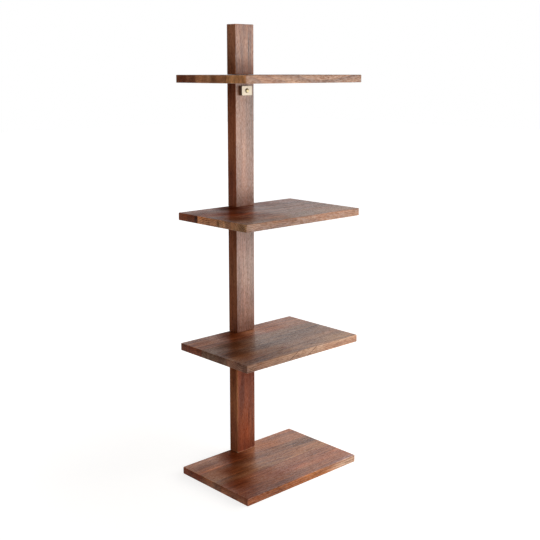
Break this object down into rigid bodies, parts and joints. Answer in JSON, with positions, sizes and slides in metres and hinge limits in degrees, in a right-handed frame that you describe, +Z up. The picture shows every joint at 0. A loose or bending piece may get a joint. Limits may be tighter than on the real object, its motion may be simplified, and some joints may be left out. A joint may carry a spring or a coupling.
{
  "type": "wall shelf",
  "caption": "Tall narrow wall shelf: four square-edged wooden shelf panels stacked on flat post blocks at the back, with a brass wall plate and screw.",
  "frame": {"origin": "on the floor under the middle of the bottom panel", "axes": "+Z up along the post, +Y to the wall, +X to the right of someone who faces the shelf"},
  "size_m": [0.45, 0.3294, 1.343],
  "materials": {
    "stained_wood": "dark stained hardwood, edge-glued staves, satin oil",
    "brass": "satin brass",
    "zinc_alloy": "die-cast and plated zinc, bright",
    "beech": "bare turned dowel"
  },
  "bodies": {
    "root": {"shelf_1": "stained_wood", "shelf_2": "stained_wood", "shelf_3": "stained_wood", "shelf_4": "stained_wood", "post_block_1": "stained_wood", "post_block_2": "stained_wood", "post_block_3": "stained_wood", "post_block_4": "stained_wood", "wall_plate": "brass", "wall_screw": "brass", "shelf_1_cam_bolt_left": "zinc_alloy", "shelf_1_cam_bolt_right": "zinc_alloy", "shelf_2_cam_bolt_left": "zinc_alloy", "shelf_2_cam_bolt_right": "zinc_alloy", "shelf_3_cam_bolt_left": "zinc_alloy", "shelf_3_cam_bolt_right": "zinc_alloy", "shelf_4_cam_bolt_left": "zinc_alloy", "shelf_4_cam_bolt_right": "zinc_alloy", "block_1_cam_low_left": "zinc_alloy", "block_1_cam_low_right": "zinc_alloy", "block_1_cam_high_left": "zinc_alloy", "block_1_cam_high_right": "zinc_alloy", "block_2_cam_low_left": "zinc_alloy", "block_2_cam_low_right": "zinc_alloy", "block_2_cam_high_left": "zinc_alloy", "block_2_cam_high_right": "zinc_alloy", "block_3_cam_low_left": "zinc_alloy", "block_3_cam_low_right": "zinc_alloy", "block_3_cam_high_left": "zinc_alloy", "block_3_cam_high_right": "zinc_alloy", "block_4_cam_low_left": "zinc_alloy", "block_4_cam_low_right": "zinc_alloy", "shelf_1_dowel_left": "beech", "shelf_1_dowel_right": "beech", "shelf_2_dowel_left": "beech", "shelf_2_dowel_right": "beech", "shelf_3_dowel_left": "beech", "shelf_3_dowel_right": "beech", "shelf_4_dowel_left": "beech", "shelf_4_dowel_right": "beech"}
  },
  "joints": []
}
